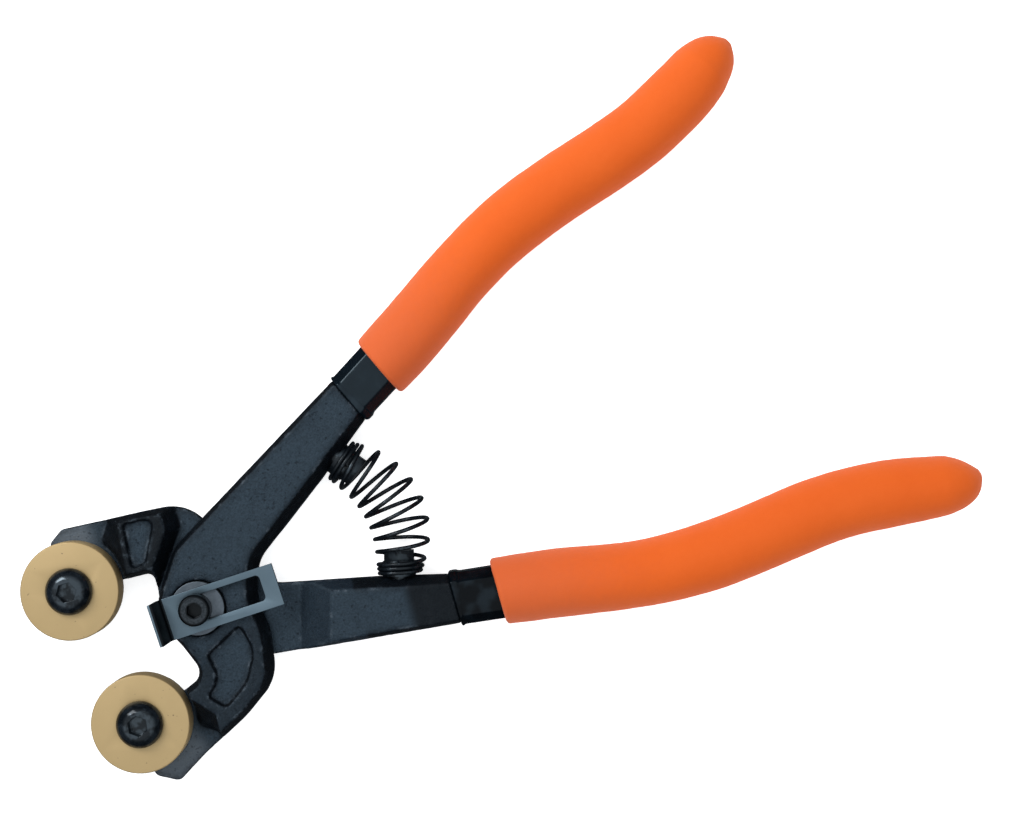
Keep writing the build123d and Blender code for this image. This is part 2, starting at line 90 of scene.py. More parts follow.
class Graph:
    # a material's node tree
    def __init__(self, name):
        self.material = bpy.data.materials.new(name)
        self.material.use_nodes = True
        self.tree = self.material.node_tree
        self.shader = self.tree.nodes["Principled BSDF"]
        self.bumps = None

    def node(self, kind, settings, inputs, output=0):
        made = self.tree.nodes.new(kind)
        for key, value in settings.items():
            setattr(made, key, value)
        for key, value in inputs.items():
            self.feed(made.inputs[key], value)
        return Wire(self, made.outputs[output])

    def feed(self, socket, value):
        if isinstance(value, Wire):
            self.tree.links.new(value.socket, socket)
        elif isinstance(value, tuple) and len(socket.default_value) == 4:
            socket.default_value = (*value, 1)
        else:
            socket.default_value = value

    def set(self, values):
        # the top shader's inputs, by the names that Blender shows
        for key, value in values.items():
            self.feed(self.shader.inputs[key], value)

    def place(self, turn=0.0):
        # the piece's own coordinates in millimetres, turned about the pivot
        own = self.node("ShaderNodeTexCoord", {}, {}, "Object")
        inputs = {0: own, "Scale": 1 / mm}
        scaled = self.node("ShaderNodeVectorMath", {"operation": "SCALE"}, inputs)
        inputs = {"Vector": scaled, "Angle": turn}
        return self.node("ShaderNodeVectorRotate", {"rotation_type": "Z_AXIS"}, inputs)

    def attribute(self, name):
        return self.node("ShaderNodeAttribute", {"attribute_name": name}, {}, "Fac")

    def split(self, vector, axis):
        return self.node("ShaderNodeSeparateXYZ", {}, {0: vector}, axis)

    def larger(self, first, second):
        return self.node("ShaderNodeMath", {"operation": "MAXIMUM"}, {0: first, 1: second})

    def reach(self, vector):
        # the distance from the upright axis through the origin
        inputs = {0: vector, 1: (1, 1, 0)}
        flat = self.node("ShaderNodeVectorMath", {"operation": "MULTIPLY"}, inputs)
        return self.node("ShaderNodeVectorMath", {"operation": "LENGTH"}, {0: flat}, "Value")

    def band(self, value, low, high, soft):
        # 1 between low and high, fading over soft on either side
        return self.ease(value, low - soft, low) * (1 - self.ease(value, high, high + soft))

    def grain(self, vector, scale, detail=2.0, rough=0.5):
        inputs = {"Vector": vector, "Scale": scale, "Detail": detail, "Roughness": rough}
        return self.node("ShaderNodeTexNoise", {}, inputs)

    def ease(self, value, low, high):
        # 0 below low, 1 above high, smooth between
        inputs = {"Value": value, "From Min": low, "From Max": high}
        return self.node("ShaderNodeMapRange", {"interpolation_type": "SMOOTHSTEP"}, inputs)

    def mix(self, share, first, second):
        return self.node("ShaderNodeMix", {"data_type": "RGBA"}, {0: share, 6: first, 7: second}, 2)

    def bump(self, height, depth, strength=1.0):
        inputs = {"Height": height, "Distance": depth, "Strength": strength}
        self.bumps = self.node("ShaderNodeBump", {}, inputs)
        self.feed(self.shader.inputs["Normal"], self.bumps)

    def cover(self, share, values):
        # a second finish laid over the first by its share
        first = Wire(self, self.shader.outputs[0])
        self.shader = self.tree.nodes.new("ShaderNodeBsdfPrincipled")
        self.set(values)
        if self.bumps:
            self.feed(self.shader.inputs["Normal"], self.bumps)
        second = Wire(self, self.shader.outputs[0])
        both = self.node("ShaderNodeMixShader", {}, {0: share, 1: first, 2: second})
        self.feed(self.tree.nodes["Material Output"].inputs["Surface"], both)


# camera, light and floor
studio = {
    "cameraAt": (81.1, 6.73, 453.0),
    "cameraTurn": -28.08,    # degrees about the vertical
    "lens": 70.57,
    "sensor": 36,
    "clipStart": 0.01,       # metres
    "domeLow": 0.3,          # the sky brightens between these two heights
    "domeHigh": 0.9,
    "domeLight": 1.35,
    "domeColour": (0.93, 0.97, 1.0),
    "horizonColour": (0.05, 0.055, 0.06),
    "keyAt": (-120.0, 420.0, 420.0),
    "keyAimX": 60.0,
    "keySize": 260.0,
    "keyPower": 2.2,
    "floorReach": 3.0,       # metres from the floor's middle to its sides
    "floorColour": (0.93, 0.93, 0.93),
    "floorRoughness": 0.9,
    "floorShine": 0.1,
    "glowColour": (1.0, 1.0, 1.0),
    "floorGlow": 0.7,
}


def linked(name, data):
    made = bpy.data.objects.new(name, data)
    bpy.context.scene.collection.objects.link(made)
    return made


def makeCamera():
    camera = linked("camera", bpy.data.cameras.new("camera"))
    camera.location = Vector(studio["cameraAt"]) * mm
    camera.rotation_euler = (0, 0, math.radians(studio["cameraTurn"]))
    camera.data.lens = studio["lens"]
    camera.data.sensor_width = studio["sensor"]
    camera.data.clip_start = studio["clipStart"]
    bpy.context.scene.camera = camera
    bpy.context.scene.view_settings.view_transform = "Standard"


def makeSky():
    # bright overhead, dark at the horizon
    world = bpy.data.worlds.new("studio")
    bpy.context.scene.world = world
    world.use_nodes = True
    tree = world.node_tree
    back = tree.nodes["Background"]
    coords = tree.nodes.new("ShaderNodeTexCoord")
    height = tree.nodes.new("ShaderNodeSeparateXYZ")
    ramp = tree.nodes.new("ShaderNodeMapRange")
    ramp.interpolation_type = "SMOOTHSTEP"
    ramp.inputs["From Min"].default_value = studio["domeLow"]
    ramp.inputs["From Max"].default_value = studio["domeHigh"]
    sky = tree.nodes.new("ShaderNodeMix")
    sky.data_type = "RGBA"
    sky.inputs[6].default_value = (*studio["horizonColour"], 1)
    sky.inputs[7].default_value = (*studio["domeColour"], 1)
    tree.links.new(coords.outputs["Generated"], height.inputs[0])
    tree.links.new(height.outputs["Z"], ramp.inputs["Value"])
    tree.links.new(ramp.outputs[0], sky.inputs[0])
    tree.links.new(sky.outputs[2], back.inputs["Color"])
    back.inputs["Strength"].default_value = studio["domeLight"]


def makeKey():
    light = linked("key", bpy.data.lights.new("key", "AREA"))
    light.location = Vector(studio["keyAt"]) * mm
    light.data.size = studio["keySize"] * mm
    light.data.energy = studio["keyPower"]
    aim = Vector((studio["keyAimX"] * mm, 0, 0)) - light.location
    light.rotation_euler = aim.to_track_quat("-Z", "Y").to_euler()


def makeFloor():
    sheet = bmesh.new()
    bmesh.ops.create_grid(sheet, x_segments=2, y_segments=2, size=studio["floorReach"])
    mesh = bpy.data.meshes.new("floor")
    sheet.to_mesh(mesh)
    sheet.free()
    floor = linked("floor", mesh)
    graph = Graph("floor")
    graph.set({
        "Base Color": studio["floorColour"],
        "Roughness": studio["floorRoughness"],
        "Specular IOR Level": studio["floorShine"],
        "Emission Color": studio["glowColour"],
        "Emission Strength": studio["floorGlow"],
    })
    mesh.materials.append(graph.material)
    floor.visible_glossy = False


makeCamera()
makeSky()
makeKey()
makeFloor()
print("studio made")


# mesh helpers
weldGap = 1e-6      # metres
flatAngle = 0.6     # degrees: triangles nearer to one plane than this are joined
machined = {"segments": 2, "sharpAngle": 28}  # broken edges of the turned and milled pieces


def applied(piece):
    # the piece's mesh with its modifiers worked in
    bpy.context.view_layer.update()
    graph = bpy.context.evaluated_depsgraph_get()
    mesh = bpy.data.meshes.new_from_object(piece.evaluated_get(graph))
    piece.modifiers.clear()
    piece.data = mesh
    return piece


def tidyCopy(node, name):
    # the node's mesh with its triangles joined into whole faces
    shape = bmesh.new()
    shape.from_mesh(nodes[node].data)
    bmesh.ops.remove_doubles(shape, verts=shape.verts, dist=weldGap)
    limit = math.radians(flatAngle)
    bmesh.ops.dissolve_limit(shape, angle_limit=limit, verts=shape.verts, edges=shape.edges)
    mesh = bpy.data.meshes.new(name)
    shape.to_mesh(mesh)
    shape.free()
    return linked(name, mesh)


def smoothShade(piece, sharpAngle):
    mesh = piece.data
    mesh.polygons.foreach_set("use_smooth", [True] * len(mesh.polygons))
    mesh.set_sharp_from_angle(angle=math.radians(sharpAngle))
    return piece


def finishPiece(piece, node, material):
    # stands for the CAD node, on its body and in its finish
    piece.data.materials.clear()
    piece.data.materials.append(material)
    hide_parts(node)
    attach(piece, bodyOf[node])
    return piece


def easedCopy(node, name, material, width):
    # a machined piece: the node's shape with its edges broken
    piece = tidyCopy(node, name)
    bevel = piece.modifiers.new("edges", "BEVEL")
    bevel.width = width * mm
    bevel.segments = machined["segments"]
    bevel.limit_method = "ANGLE"
    bevel.angle_limit = math.radians(machined["sharpAngle"])
    applied(piece)
    smoothShade(piece, machined["sharpAngle"])
    return finishPiece(piece, node, material)


def cutOff(piece, point, normal):
    # takes away what lies past a plane and closes the cut
    shape = bmesh.new()
    shape.from_mesh(piece.data)
    everything = shape.verts[:] + shape.edges[:] + shape.faces[:]
    cut = bmesh.ops.bisect_plane(
        shape, geom=everything, plane_co=point, plane_no=normal, clear_outer=True)
    edges = [e for e in cut["geom_cut"] if isinstance(e, bmesh.types.BMEdge)]
    bmesh.ops.holes_fill(shape, edges=edges)
    shape.to_mesh(piece.data)
    shape.free()
    return piece


def remeshed(piece, voxel):
    remesh = piece.modifiers.new("skin", "REMESH")
    remesh.mode = "VOXEL"
    remesh.voxel_size = voxel * mm
    return applied(piece)


def readPoints(mesh):
    points = np.empty(len(mesh.vertices) * 3)
    mesh.vertices.foreach_get("co", points)
    return points.reshape(-1, 3)


def writePoints(mesh, points):
    mesh.vertices.foreach_set("co", points.ravel())
    mesh.update()


def relaxed(mesh, points, rounds, pull=0.5):
    # each point drawn towards the middle of its neighbours
    ends = np.empty(len(mesh.edges) * 2, dtype=int)
    mesh.edges.foreach_get("vertices", ends)
    first, second = ends.reshape(-1, 2).T
    count = np.bincount(ends, minlength=len(points)).astype(float)
    moved = points.copy()
    for _ in range(rounds):
        for axis in range(3):
            total = np.bincount(first, moved[second, axis], len(points))
            total += np.bincount(second, moved[first, axis], len(points))
            moved[:, axis] += pull * (total / count - moved[:, axis])
    return moved


def normalsOf(mesh):
    normals = np.empty(len(mesh.vertices) * 3)
    mesh.vertices.foreach_get("normal", normals)
    return normals.reshape(-1, 3)


seedSteps = (7.3, 3.1, 5.7)  # how far apart in the noise two seeds are


def lumps(points, scale, seed):
    # smooth noise from -1 to 1 at each point, its features 1/scale millimetres wide
    shift = Vector([seed * step for step in seedSteps])
    return np.array([noise.noise(Vector(p) * (scale / mm) + shift) for p in points])


def addAttribute(mesh, name, values):
    attribute = mesh.attributes.new(name, "FLOAT", "POINT")
    attribute.data.foreach_set("value", values.astype(np.float32))


# levers: painted castings
casting = {
    "voxel": 0.34,
    "rounding": 3,           # smoothing rounds, about 0.5 mm of edge radius
    "tangKept": 3.0,         # millimetres of tang kept inside the liner
    "shoulder": 55.5,
    "middle": 7.5,
    "roll": 0.035,           # height of the skin's gentle roll
    "rollScale": 0.45,
    "sand": 0.02,
    "sandScale": 1.6,
    "edgeLumps": 0.13,
    "edgeScale": 0.75,
    "edgeRounds": 5,
    "edgeMove": 0.07,        # how far smoothing moves a point that counts as on an edge
    "edgeStart": 0.35,
    "steepGain": 7,
    "steepStart": 0.35,
    "haloRounds": 14,        # how far the painted shade beside a steep face reaches
    "haloGain": 1.8,
    "lapQuiet": 0.7,         # no lumps this near the middle plane, where the levers slide
    # grains in the paint: scale, detail, roughness of the noise
    "grains": {
        "sand": (2.6, 4.0, 0.65), "fine": (7.5, 1.0), "patch": (0.16, 2.0),
        "broken": (0.8, 4.0, 0.7), "pits": (1.1, 2.0, 0.65), "wearGlintGrain": (0.4, 5.0, 0.75),
    },
    # the grain values between which a mark fades in
    "pitCut": (0.62, 0.7),
    "wallGlintCut": (0.5, 0.62),
    "wearGlintCut": (0.48, 0.66),
    "borderCut": (0.4, 0.6),
    "tones": ((0.001, 0.004, 0.009), (0.015, 0.026, 0.04)),
    "toneMix": {"patch": 0.5, "sand": 3.0, "less": 1.3},
    "tint": (0.66, 0.86, 1.0),
    "roughness": 0.32,
    "sandRoughness": 0.26,
    "refraction": 1.45,
    "relief": 0.22,
    "reliefMix": {"sand": 0.8, "fine": 0.25, "pits": 0.3},
    # pale rubbed edges: real edge wear, and painted highlights along the edges
    "wearGlintTone": (0.1, 0.118, 0.14),
    "wearGlintShare": 0.5,
    # the tongue behind a wheel, painted paler: painted light on its face
    "tongueLitTone": (0.1, 0.115, 0.135),
    "tongueLitShare": 0.8,
    "tongueAlong": (-22.0, -17.5),
    "tongueLevel": (6.8, 8.0),
    "tongueSoft": 0.5,
    # black laid over the paint: painted shade on steep faces, beside them, on the rims by the
    # pockets and on the run up to the liner, and the casting's real pits
    "blackTone": (0.0015, 0.0022, 0.0032),
    "blackRoughness": 0.42,
    "blackShine": 0.09,
    "wallShare": 0.92,
    # how far painted highlights break the painted shade on steep faces
    "wallGlintShare": 0.14,
    "wallWearGlint": 0.45,
    "borderLow": 0.35,
    "borderMore": 0.4,
    "borderWearGlint": 0.5,
    "pitShare": 0.45,
    "rimLevel": (11.7, 12.0),
    "rimWearGlint": 0.5,
    "rearJaw": (-3.0, -1.0),
    "rearJawShadeShare": 0.85,
    "rearShade": (45.0, 48.0),
    "rearShadeRagged": 2,
    "rearShadeShare": 0.85,
    "rearSlope": (12.0, 34.0),  # the slope on the rear lever stays blue, without painted shade
    "rearSlopeSoft": 1.0,
    "rearSlopeShare": 0.8,
    "frontJaw": (-12.0, -7.5),
    "frontJawShadeShare": 0.5,
    "frontShade": (60.0, 61.0),
}


def castPaint(side):
    look = casting
    graph = Graph(side + "CastPaint")
    place = graph.place(-turnOf[side])
    along, aside, level = [graph.split(place, axis) for axis in "XYZ"]
    grain = {name: graph.grain(place, *values) for name, values in look["grains"].items()}
    edge, steep, shadeHalo = [graph.attribute(name) for name in ("edge", "steep", "shadeHalo")]
    sand, broken = grain["sand"], grain["broken"]

    # blue-black paint, with painted light on the tongue and pale rubbed edges that are also painted
    # edge highlights
    share = look["toneMix"]
    shift = grain["patch"] * share["patch"] + sand * share["sand"] - share["less"]
    tone = graph.mix(shift, *look["tones"])
    # painted light on the tongue behind the wheel
    tongue = 1 - graph.ease(along, *look["tongueAlong"])
    tongue = tongue * graph.band(level, *look["tongueLevel"], look["tongueSoft"])
    tone = graph.mix(tongue * look["tongueLitShare"], tone, look["tongueLitTone"])
    # pale rubbed edges: real edge wear, and painted highlights along the edges
    paleMarks = edge * graph.ease(grain["wearGlintGrain"], *look["wearGlintCut"])
    tone = graph.mix(paleMarks * look["wearGlintShare"], tone, look["wearGlintTone"])
    graph.set({
        "Base Color": tone,
        "Roughness": look["roughness"] + sand * look["sandRoughness"],
        "IOR": look["refraction"],
        "Specular Tint": look["tint"],
    })
    pits = graph.ease(grain["pits"], *look["pitCut"])
    share = look["reliefMix"]
    height = sand * share["sand"] + grain["fine"] * share["fine"] - pits * share["pits"]
    graph.bump(height, look["relief"] * mm)

    # black over it: painted shade, and the real pits
    # the top faces round the pockets painted black: painted shade
    rim = graph.ease(level, *look["rimLevel"])
    if side == "rear":
        jawShade = rim * (1 - graph.ease(along, *look["rearJaw"])) * look["rearJawShadeShare"]
        ragged = along + sand * look["rearShadeRagged"]
        shade = graph.ease(ragged, *look["rearShade"]) * look["rearShadeShare"]
        slope = graph.band(along, *look["rearSlope"], look["rearSlopeSoft"])
        slope = slope * look["rearSlopeShare"]
    else:
        jawShade = rim * (1 - graph.ease(aside, *look["frontJaw"])) * look["frontJawShadeShare"]
        shade = graph.ease(along, *look["frontShade"])
        slope = 0.0
    # broken patches where the painted shade on steep faces is lifted: painted highlights
    wallGlints = graph.ease(broken, *look["wallGlintCut"])
    wallShade = steep * (1 - slope) * (look["wallShare"] - wallGlints * look["wallGlintShare"])
    wallShade = wallShade - paleMarks * look["wallWearGlint"]
    borderShade = look["borderLow"] + graph.ease(broken, *look["borderCut"]) * look["borderMore"]
    borderShade = shadeHalo * borderShade * (1 - slope) - paleMarks * look["borderWearGlint"]
    dark = graph.larger(shade, jawShade - paleMarks * look["rimWearGlint"])
    for mark in (wallShade, pits * look["pitShare"], borderShade):
        dark = graph.larger(dark, mark)
    graph.cover(dark, {
        "Base Color": look["blackTone"],
        "Roughness": look["blackRoughness"],
        "Specular IOR Level": look["blackShine"],
    })
    return graph.material


def spreadOut(mesh, values, rounds):
    # a value per point, evened over its neighbours
    three = np.repeat(values[:, None], 3, axis=1)
    return relaxed(mesh, three, rounds, 1.0)[:, 0]


def makeLever(side):
    node = side + "_lever"
    piece = tidyCopy(node, node + "_casting")
    along = Matrix.Rotation(turnOf[side], 3, "Z") @ Vector((1, 0, 0))
    cutOff(piece, along * (casting["shoulder"] + casting["tangKept"]) * mm, along)
    remeshed(piece, casting["voxel"])
    mesh = piece.data
    rough = readPoints(mesh)
    soft = relaxed(mesh, rough, casting["rounding"])
    far = relaxed(mesh, soft, casting["edgeRounds"])
    moved = np.linalg.norm(far - rough, axis=1) / (casting["edgeMove"] * mm)
    edge = np.clip(moved - casting["edgeStart"], 0, 1)
    writePoints(mesh, soft)
    quiet = np.clip(np.abs(soft[:, 2] / mm - casting["middle"]) / casting["lapQuiet"] - 1, 0, 1)
    height = casting["roll"] * lumps(soft, casting["rollScale"], 1)
    height += casting["sand"] * lumps(soft, casting["sandScale"], 2)
    height -= casting["edgeLumps"] * edge * np.clip(lumps(soft, casting["edgeScale"], 3), 0, 1)
    writePoints(mesh, soft + normalsOf(mesh) * (height * quiet * mm)[:, None])
    addAttribute(mesh, "edge", edge)
    # steep faces get painted shade, and a soft painted shade spreads round them
    tilt = 1 - np.abs(normalsOf(mesh)[:, 2])
    steep = np.clip(tilt * casting["steepGain"] - casting["steepStart"], 0, 1)
    addAttribute(mesh, "steep", steep)
    shadeHalo = spreadOut(mesh, steep, casting["haloRounds"]) * casting["haloGain"]
    addAttribute(mesh, "shadeHalo", np.clip(shadeHalo, 0, 1))
    smoothShade(piece, 180)
    return finishPiece(piece, node, castPaint(side))


for side in ("front", "rear"):
    lever = makeLever(side)
    print(lever.name, len(lever.data.vertices), "points")


# liners: dipped vinyl
dip = {
    "voxel": 0.3,
    "rounding": 3,
    "kept": 24.0,            # millimetres kept past the shoulder, the last of them inside the grip
    "wave": (0.35, 2.0),     # grains: scale, detail, roughness
    "fine": (2.4, 2.0),
    "streak": (0.22, 2.0, 0.5),
    "streakCut": (0.45, 0.7),
    "tones": ((0.001, 0.0035, 0.006), (0.004, 0.009, 0.015)),
    "tint": (0.66, 0.86, 1.0),
    "roughness": 0.16,
    "fineRoughness": 0.14,
    "refraction": 1.42,
    "relief": 0.06,
    "reliefMix": {"wave": 0.8, "fine": 0.2},
    "reliefStrength": 0.6,
    "blackTone": (0.001, 0.0018, 0.0028),
    "blackRoughness": 0.2,
    "blackShine": 0.07,
    # the rear liner's cover is fuller than the front one's: painted shade on one copy of the same
    # vinyl
    "blackShare": {"front": 0.4, "rear": 0.97},
    "streakShare": {"front": 0.3, "rear": 0.4},
}


def dipGloss(side):
    graph = Graph(side + "DipGloss")
    place = graph.place(-turnOf[side])
    wave = graph.grain(place, *dip["wave"])
    fine = graph.grain(place, *dip["fine"])
    graph.set({
        "Base Color": graph.mix(wave, *dip["tones"]),
        "Roughness": dip["roughness"] + fine * dip["fineRoughness"],
        "IOR": dip["refraction"],
        "Specular Tint": dip["tint"],
    })
    height = wave * dip["reliefMix"]["wave"] + fine * dip["reliefMix"]["fine"]
    graph.bump(height, dip["relief"] * mm, dip["reliefStrength"])
    streak = graph.ease(graph.grain(place, *dip["streak"]), *dip["streakCut"])
    # a dull black cover, fuller on the rear liner as painted shade
    graph.cover(dip["blackShare"][side] - streak * dip["streakShare"][side], {
        "Base Color": dip["blackTone"],
        "Roughness": dip["blackRoughness"],
        "Specular IOR Level": dip["blackShine"],
    })
    return graph.material


def makeLiner(side):
    node = side + "_liner"
    piece = tidyCopy(node, node + "_dip")
    along = Matrix.Rotation(turnOf[side], 3, "Z") @ Vector((1, 0, 0))
    cutOff(piece, along * (casting["shoulder"] + dip["kept"]) * mm, along)
    remeshed(piece, dip["voxel"])
    writePoints(piece.data, relaxed(piece.data, readPoints(piece.data), dip["rounding"]))
    smoothShade(piece, 180)
    return finishPiece(piece, node, dipGloss(side))


for side in ("front", "rear"):
    makeLiner(side)
print("liners made")


# grips: foam sleeves
foam = {
    "start": 65.3,           # where a grip begins, from the pivot
    "tip": {"front": 172.7, "rear": 176.9},
    "tipSide": {"front": 0.0, "rear": -1.2},  # how far a tip leans to its side
    "tipSideRun": 7,         # and over how long a run
    "tipRun": 17.9,          # the part of the rear grip that the front one shortens
    "middle": 7.5,
    "depth": 15.0,
    "depthExtra": 1.4,
    "shoulder": (55.5, 13.65),  # where the grip's middle line comes from
    # share of the rear grip's length, distance from the tool's middle line, width
    "stations": [
        (0.00, 14.8, 15.2), (0.11, 16.4, 15.5), (0.24, 18.9, 15.0), (0.38, 20.1, 15.3),
        (0.53, 18.9, 15.9), (0.70, 16.8, 15.3), (0.84, 17.7, 14.9), (0.92, 18.8, 13.6),
        (1.00, 19.4, 12.0),
    ],
    # distance before the tip, and the most width there
    "nib": [
        (0.0, 1.6), (0.35, 3.4), (0.9, 5.3), (1.8, 7.4), (3.0, 9.5), (4.8, 11.5),
        (7.8, 13.3), (10.5, 15.5),
    ],
    "nibFlat": 0.3,          # the very tip's share of its full depth
    # distance from the collar, and how much its rounding takes off
    "rim": [(0.0, 1.3), (0.12, 0.7), (0.35, 0.25), (0.8, 0.0)],
    "squareRun": 6,          # over this run the rings come round to follow the middle line
    "hole": (5.6, 4.6),
    "holeDeep": 3.0,
    "rings": 300,
    "soften": 15,            # rings that the widths are evened over
    "around": 96,
    "swell": 0.1,
    "swellScale": 0.16,
    "dimple": 0.035,
    "dimpleScale": 0.8,
    "sharpAngle": 50,
    "fill": 0.9,
    "cloud": (0.09, 3.0, 0.55),  # grains: scale, detail, roughness
    "mottle": (0.7, 3.0, 0.6),
    "pore": (3.6, 2.0, 0.6),
    "speck": (2.0, 2.0, 0.7),
    "speckCut": (0.7, 0.78),
    "tones": ((0.7, 0.098, 0.004), (0.76, 0.122, 0.01)),
    "toneMix": {"cloud": 0.7, "mottle": 0.3},
    "fadedTone": (0.6, 0.108, 0.028),
    "fadedShare": 0.8,
    "fadedAlong": (72.0, 112.0),  # duller at the collar, fading out between these
    "fadedRagged": 12,
    "speckTone": (0.45, 0.05, 0.004),
    "speckShare": 0.3,
    "roughness": 0.62,
    "poreRoughness": 0.2,
    "shine": 0.25,
    "sheen": 0.1,
    "sheenRoughness": 0.5,
    "sheenTint": (1.0, 0.75, 0.65),
    "relief": 0.07,
    "reliefStrength": 0.7,
}


def foamOrange(side):
    graph = Graph(side + "FoamOrange")
    place = graph.place(-turnOf[side])
    cloud = graph.grain(place, *foam["cloud"])
    mottle = graph.grain(place, *foam["mottle"])
    pore = graph.grain(place, *foam["pore"])
    specks = graph.ease(graph.grain(place, *foam["speck"]), *foam["speckCut"])
    ragged = graph.split(place, "X") + mottle * foam["fadedRagged"]
    faded = 1 - graph.ease(ragged, *foam["fadedAlong"])
    share = foam["toneMix"]
    tone = graph.mix(cloud * share["cloud"] + mottle * share["mottle"], *foam["tones"])
    tone = graph.mix(faded * foam["fadedShare"], tone, foam["fadedTone"])
    tone = graph.mix(specks * foam["speckShare"], tone, foam["speckTone"])
    graph.set({
        "Base Color": tone,
        "Roughness": foam["roughness"] + pore * foam["poreRoughness"],
        "Specular IOR Level": foam["shine"],
        "Sheen Weight": foam["sheen"],
        "Sheen Roughness": foam["sheenRoughness"],
        "Sheen Tint": foam["sheenTint"],
    })
    graph.bump(pore * 0.5 + mottle * 0.5, foam["relief"] * mm, foam["reliefStrength"])
    return graph.material


def curveThrough(xs, ys):
    # the natural cubic curve through the points, as a function of x
    xs, ys = np.array(xs, float), np.array(ys, float)
    gap, count = np.diff(xs), len(xs)
    system, right = np.eye(count), np.zeros(count)
    for i in range(1, count - 1):
        system[i, i - 1:i + 2] = gap[i - 1], 2 * (gap[i - 1] + gap[i]), gap[i]
        right[i] = 6 * ((ys[i + 1] - ys[i]) / gap[i] - (ys[i] - ys[i - 1]) / gap[i - 1])
    bend = np.linalg.solve(system, right)

    def value(x):
        i = np.clip(np.searchsorted(xs, x) - 1, 0, count - 2)
        after, before = x - xs[i], xs[i + 1] - x
        line = (bend[i] * before ** 3 + bend[i + 1] * after ** 3) / (6 * gap[i])
        line += (ys[i] / gap[i] - bend[i] * gap[i] / 6) * before
        return line + (ys[i + 1] / gap[i] - bend[i + 1] * gap[i] / 6) * after
    return value


def gripRings(side):
    # rows of points round the grip, from the hole at its collar to the tip
    start, tip, full = foam["start"], foam["tip"][side], foam["tip"]["rear"]
    stations, run = foam["stations"], foam["tipRun"]
    xs = [foam["shoulder"][0]] + [start + share * (full - start) for share, _, _ in stations]
    path = curveThrough(xs, [foam["shoulder"][1]] + [aside for _, aside, _ in stations])
    widths = curveThrough(xs[1:], [width for _, _, width in stations])
    share = np.linspace(0, 1, foam["rings"])
    x = start + (tip - start) * share
    shortened = full - run + (x - full + run) * run / (run - full + tip)
    squeezed = np.where(x > full - run, shortened, x)
    before = tip - x
    lean = np.clip(1 - before / foam["tipSideRun"], 0, 1) ** 2
    y = path(squeezed) + foam["tipSide"][side] * lean
    width = np.minimum(widths(squeezed), np.interp(before, *zip(*foam["nib"])))
    window = np.hanning(foam["soften"])
    longer = np.pad(width, len(window) // 2, mode="reflect", reflect_type="odd")
    width = np.convolve(longer, window / window.sum(), mode="valid")
    rim = np.interp(x - start, *zip(*foam["rim"]))
    width -= rim
    depth = np.minimum(foam["depth"] - rim, width + foam["depthExtra"])
    slope = np.gradient(y, x) * np.clip((x - start) / foam["squareRun"], 0, 1)
    angle = np.linspace(0, 2 * np.pi, foam["around"], endpoint=False)
    rows = []
    for i in range(len(x)):
        across = width[i] / 2 * np.cos(angle)
        sine = slope[i] / math.hypot(1, slope[i])
        flat = foam["nibFlat"] if i == len(x) - 1 else 1
        up = depth[i] / 2 * np.sin(angle) * flat
        aside = y[i] + across * math.sqrt(1 - sine ** 2)
        rows.append(np.stack([x[i] - across * sine, aside, up], 1))
    wide, high = foam["hole"]
    hole = [np.full(len(angle), start), y[0] + wide * np.cos(angle), high * np.sin(angle)]
    hole = np.stack(hole, 1)
    deep = hole + np.array([foam["holeDeep"], 0, 0])
    return [deep, hole] + rows


def makeGrip(side):
    node = side + "_grip"
    rows = gripRings(side)
    turn = Matrix.Rotation(turnOf[side], 3, "Z")
    shape = bmesh.new()
    rings = []
    for row in rows:
        ring = [Vector((x, y * sideSign[side], z + foam["middle"])) for x, y, z in row]
        rings.append([shape.verts.new(turn @ point * mm) for point in ring])
    for ring, after in zip(rings, rings[1:]):
        for i in range(len(ring)):
            shape.faces.new((ring[i - 1], ring[i], after[i], after[i - 1]))
    shape.faces.new(rings[0])
    shape.faces.new(rings[-1])
    bmesh.ops.recalc_face_normals(shape, faces=shape.faces)
    mesh = bpy.data.meshes.new(node + "_foam")
    shape.to_mesh(mesh)
    shape.free()
    piece = linked(node + "_foam", mesh)
    points = readPoints(mesh)
    height = foam["swell"] * lumps(points, foam["swellScale"], 5)
    height += foam["dimple"] * lumps(points, foam["dimpleScale"], 6)
    moved = points + normalsOf(mesh) * (height * mm)[:, None]
    moved[:, 2] = np.maximum(moved[:, 2], 0)  # the foam lies flat where it rests
    writePoints(mesh, moved)
    smoothShade(piece, foam["sharpAngle"])
    finishPiece(piece, node, foamOrange(side))
    return piece


for side in ("front", "rear"):
    grip = makeGrip(side)
    print(grip.name, len(grip.data.vertices), "points")


# wheels: ground carbide
wheel = {
    "bevel": 0.08,
    "cloud": (0.22, 2.0),    # grains: scale, detail
    "grind": (6.0, 2.0),
    "speck": (1.5, 1.0),
    "speckCut": (0.76, 0.8),
    "tones": ((0.37, 0.262, 0.12), (0.42, 0.298, 0.14)),
    "toneMix": {"cloud": 0.7, "grind": 0.3},
    "speckTone": (0.12, 0.085, 0.045),
    "speckShare": 0.7,
    "metallic": 0.35,
    "roughness": 0.4,
    "grindRoughness": 0.12,
    "refraction": 1.5,
    "relief": 0.01,
    "reliefStrength": 0.5,
}


